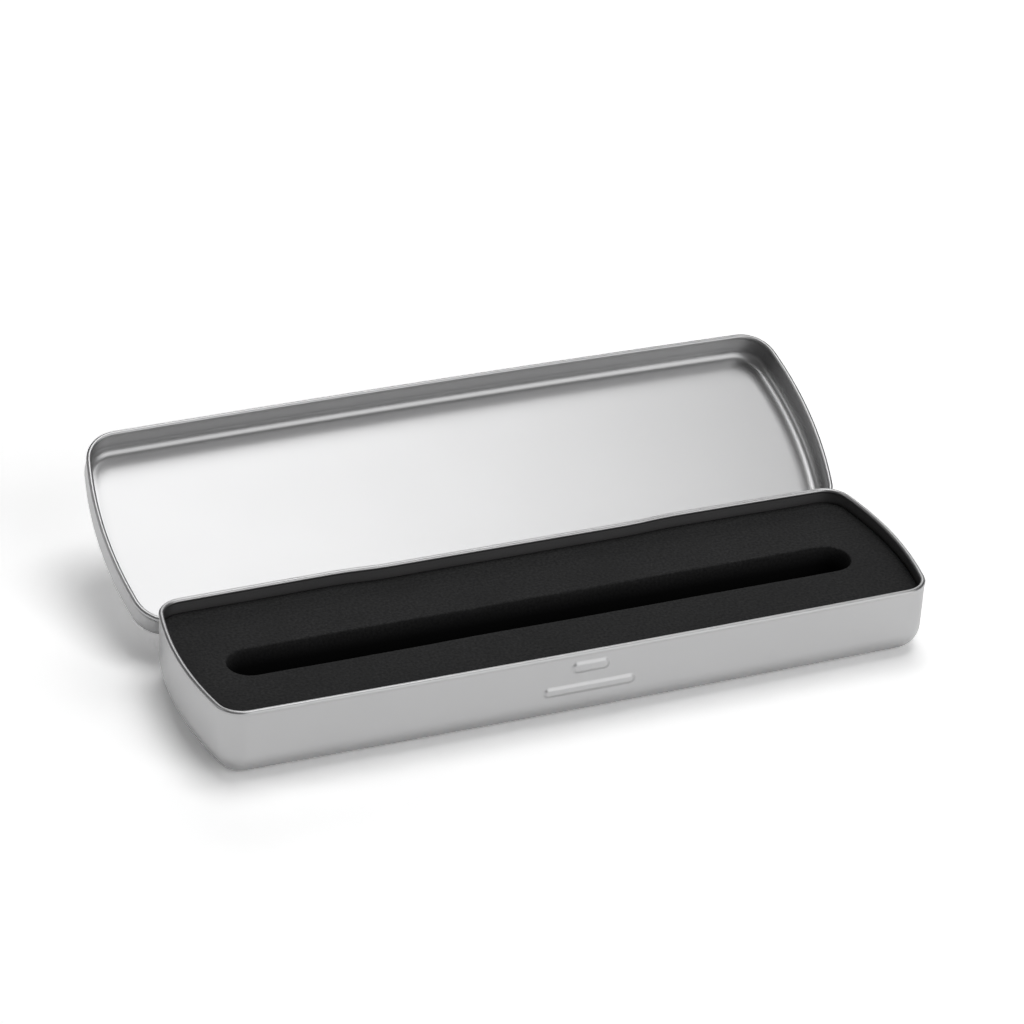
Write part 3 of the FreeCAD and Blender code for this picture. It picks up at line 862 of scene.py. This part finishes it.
@dataclass
class FoamBed:
    """Foam pad on the floor and the slotted foam insert on it."""

    plan: TinPlan
    finish: bpy.types.Material
    floor: float = 0.3 * MM
    pad_top: float = 5.3 * MM
    top: float = 14.1 * MM
    side: float = -0.55 * MM
    bottom_radius: float = 5.9 * MM
    slot_length: float = 152.3 * MM
    slot_width: float = 10.8 * MM
    edge_round: float = 0.35 * MM
    swell: float = 0.12 * MM
    swell_middle: float = 0.5
    swell_per_metre: float = 60.0
    wall_row: float = 2.0 * MM
    slot_row: float = 1.5 * MM
    top_rings: int = 26
    round_steps: int = 4
    foot_steps: int = 3
    pad_steps: int = 10

    def slot_point(self, spot: Vector, reach: float) -> Vector:
        """Point of the slot's outline, or of one outside it, nearest to a place.

        Args:
            spot: The place.
            reach: Distance of the outline from the slot's middle line.

        Returns:
            The outline's point, at the place's own height.
        """
        straight = (self.slot_length - self.slot_width) / 2
        foot = Vector((min(max(spot.x, -straight), straight), 0.0, spot.z))
        return beyond(foot, spot, reach)

    def cross_top(self, mesh: BMesh, edges: list[BMEdge]) -> list[BMEdge]:
        """Carry the top's outer loop inwards to the slot's upper edge.

        Args:
            mesh: The insert's mesh.
            edges: Loop at the outer edge of the top.

        Returns:
            Loop at the slot's rounded edge.
        """
        target = self.slot_width / 2 + self.edge_round
        for ring in range(self.top_rings, 0, -1):
            points, edges = extrude_loop(mesh, edges)
            for vert in points:
                vert.co = vert.co.lerp(self.slot_point(vert.co, target), 1.0 / ring)
        return edges

    def line_slot(self, mesh: BMesh, edges: list[BMEdge]) -> list[BMEdge]:
        """Carry the slot's upper edge over its rounding and down its wall.

        Args:
            mesh: The insert's mesh.
            edges: Loop at the outside of the rounding.

        Returns:
            Loop at the foot of the slot's wall.
        """
        half, rounding = self.slot_width / 2, self.edge_round
        middle = (half + rounding, self.top - rounding)
        path = [
            *arc(middle, rounding, QUARTER_TURN, 2 * QUARTER_TURN, self.round_steps)[1:],
            *rise(half, middle[1], self.pad_top, self.slot_row)[1:],
        ]
        for reach, height in path:
            points, edges = extrude_loop(mesh, edges)
            for vert in points:
                vert.co = self.slot_point(vert.co, reach)
                vert.co.z = height
        return edges

    def bottom_edge(self) -> tuple[Point, float]:
        """Rounded bottom edge of the bed, which the pad's top divides.

        Returns:
            Centre of the rounding, and the angle in degrees at which the pad's top meets it.
        """
        middle = (self.side - self.bottom_radius, self.floor + self.bottom_radius)
        return middle, math.degrees(math.asin((self.pad_top - middle[1]) / self.bottom_radius))

    def build_insert(self) -> bpy.types.Object:
        """Build the slotted insert.

        Returns:
            The insert.
        """
        mesh = new_mesh()
        rounding = self.edge_round
        brow = (self.side - rounding, self.top - rounding)
        middle, turn = self.bottom_edge()
        section = [
            *arc(middle, self.bottom_radius, turn, 0.0, self.foot_steps),
            *rise(self.side, middle[1], brow[1], self.wall_row)[1:],
            *arc(brow, rounding, 0.0, QUARTER_TURN, self.round_steps)[1:],
        ]
        first = self.plan.lay(mesh, Wall.BASE, *section[0])
        edges = sweep(mesh, first, section)
        edges = self.cross_top(mesh, edges)
        last = self.line_slot(mesh, edges)
        bmesh.ops.bridge_loops(mesh, edges=[*first, *last])
        for vert in mesh.verts:
            if vert.co.z > self.top - rounding:
                wave = noise.noise(vert.co * self.swell_per_metre)
                vert.co.z += self.swell * (wave - self.swell_middle)
        piece = finish_piece(mesh, "foam_top", self.finish, Body.BASE, ["foam_insert"])
        return piece

    def build_pad(self) -> bpy.types.Object:
        """Build the plain pad under the insert.

        Returns:
            The pad.
        """
        middle, turn = self.bottom_edge()
        section = arc(middle, self.bottom_radius, -QUARTER_TURN, turn, self.pad_steps)
        mesh = closed_shell(self.plan, Wall.BASE, section)
        piece = finish_piece(mesh, "foam_pad", self.finish, Body.BASE, ["foam_backing"])
        return piece

    def build(self) -> None:
        """Build both foam pieces."""
        self.build_pad()
        self.build_insert()


# Hinge


@dataclass
class Hinge:
    """Pinned hinge on the back wall, shown by its CAD nodes."""

    finish: bpy.types.Material
    nodes: tuple[str, ...] = ("base_hinge_leaf", "lid_hinge_leaf", "hinge_pin")

    def dress(self) -> None:
        """Give each CAD node of the hinge its steel finish."""
        for name in self.nodes:
            node = frame["nodes"][name]
            node.data.materials.clear()
            node.data.materials.append(self.finish)
            log.info("%s: CAD node dressed", name)


# Studio


@dataclass(frozen=True)
class Softbox:
    """Rectangular studio lamp aimed at a point."""

    name: str
    place: tuple[float, float, float]
    size: tuple[float, float]
    level: float
    aim: tuple[float, float, float] = (0.0, 0.03, 0.0)

    def hang(self) -> bpy.types.Object:
        """Add the lamp to the scene.

        Returns:
            The lamp.
        """
        data = bpy.data.lights.new(self.name, "AREA")
        data.shape = "RECTANGLE"
        data.size, data.size_y = self.size
        data.energy = self.level * math.pi * self.size[0] * self.size[1]
        lamp = bpy.data.objects.new(self.name, data)
        lamp.location = self.place
        toward = Vector(self.aim) - lamp.location
        lamp.rotation_euler = toward.to_track_quat("-Z", "Y").to_euler()
        bpy.context.scene.collection.objects.link(lamp)
        return lamp


@dataclass
class Studio:
    """White floor, soft lamps and a pale surround."""

    floor_size: float = 8.0
    floor_drop: float = 0.05 * MM
    floor_colour: float = 0.80
    floor_shown: float = 1.64
    surround: float = 0.14
    softboxes: tuple[Softbox, ...] = field(default_factory=lambda: (
        Softbox("overhead", (0.16, 0.12, 1.0), (0.72, 0.60), 3.0),
        Softbox("front", (0.48, -1.05, 0.52), (1.0, 1.0), 1.7),
        Softbox("left", (-1.00, 0.34, 0.66), (0.4, 0.35), 2.2),
        Softbox("back", (0.42, 1.02, 0.62), (0.9, 0.45), 1.9),
    ))

    def floor_material(self) -> bpy.types.Material:
        """White floor that shows brighter than it lights the tin, and keeps the shadow.

        Returns:
            The floor's material.
        """
        material = bpy.data.materials.new("studio_floor")
        material.use_nodes = True
        nodes = Nodes(material.node_tree)
        path = nodes.add("ShaderNodeLightPath")
        seen = nodes.add("ShaderNodeMath", operation="MAXIMUM")
        nodes.link(path.outputs["Is Camera Ray"], seen.inputs[0])
        nodes.link(path.outputs["Is Glossy Ray"], seen.inputs[1])
        through = nodes.add("ShaderNodeMath", operation="MAXIMUM")
        nodes.link(seen.outputs[0], through.inputs[0])
        nodes.link(path.outputs["Is Transmission Ray"], through.inputs[1])
        level = nodes.remap(through.outputs[0], self.floor_colour, self.floor_shown)
        shader = nodes.add("ShaderNodeBsdfDiffuse")
        output = nodes.add("ShaderNodeOutputMaterial")
        nodes.link(level, shader.inputs["Color"])
        nodes.link(shader.outputs["BSDF"], output.inputs["Surface"])
        return material

    def build(self) -> None:
        """Add the floor, the lamps and the surround."""
        mesh = bmesh.new()
        bmesh.ops.create_grid(mesh, x_segments=1, y_segments=1, size=self.floor_size / 2)
        bmesh.ops.translate(mesh, vec=(0.0, 0.0, -self.floor_drop), verts=mesh.verts)
        floor = place_mesh(mesh, "studio_floor", self.floor_material())
        for softbox in self.softboxes:
            softbox.hang()
        world = bpy.data.worlds.new("studio")
        world.use_nodes = True
        nodes = Nodes(world.node_tree)
        sky = nodes.add("ShaderNodeBackground", Strength=self.surround)
        output = nodes.add("ShaderNodeOutputWorld")
        nodes.link(sky.outputs["Background"], output.inputs["Surface"])
        bpy.context.scene.world = world
        bpy.context.scene.view_settings.view_transform = "Standard"


@dataclass(frozen=True)
class PhotoCamera:
    """Camera at the photograph's viewing angle, by its aim on the floor, its turn and its lens."""

    aim: tuple[float, float, float] = (18.54 * MM, 63.66 * MM, 0.0)
    azimuth: float = -24.154
    elevation: float = 30.572
    roll: float = 3.262
    distance: float = 977.7 * MM
    focal_px: float = 4052.4
    sensor_mm: float = 36.0

    def build(self) -> bpy.types.Object:
        """Add the camera and make it the scene's own.

        Returns:
            The camera.
        """
        azimuth, elevation = math.radians(self.azimuth), math.radians(self.elevation)
        roll = math.radians(self.roll)
        away = Vector((math.sin(azimuth), -math.cos(azimuth), 0.0)) * math.cos(elevation)
        away.z = math.sin(elevation)
        level_right = Vector((math.cos(azimuth), math.sin(azimuth), 0.0))
        level_up = away.cross(level_right)
        right = level_right * math.cos(roll) + level_up * math.sin(roll)
        up = away.cross(right)
        data = bpy.data.cameras.new("photo_camera")
        data.sensor_width = self.sensor_mm
        data.lens = self.focal_px / IMAGE_PX * self.sensor_mm
        camera = bpy.data.objects.new("photo_camera", data)
        turn = Matrix((right, up, away)).transposed().to_4x4()
        camera.matrix_world = Matrix.Translation(Vector(self.aim) + away * self.distance) @ turn
        bpy.context.scene.collection.objects.link(camera)
        bpy.context.scene.camera = camera
        return camera


def main() -> None:
    """Build the tin, its studio and its camera."""
    logging.basicConfig(level=logging.INFO, format="%(name)s: %(message)s")
    hinge_joint = frame["joints"][0]
    axis = Vector(hinge_joint["pos_m"])
    open_angle = math.radians(-min(hinge_joint["range_deg"]))
    grain = grain_group()
    tin = SheetFinish("satin_tin", grain).material()
    steel = SheetFinish("hinge_steel", grain, STEEL_COLOUR, STEEL_ROUGHNESS).material()
    foam = FoamFinish("black_foam", grain).material()
    plan = TinPlan()
    BaseTray(plan, tin).build()
    LidTray(plan, tin, axis, open_angle).build()
    FoamBed(plan, foam).build()
    Hinge(steel).dress()
    Studio().build()
    PhotoCamera().build()


if __name__ == "__main__":
    main()
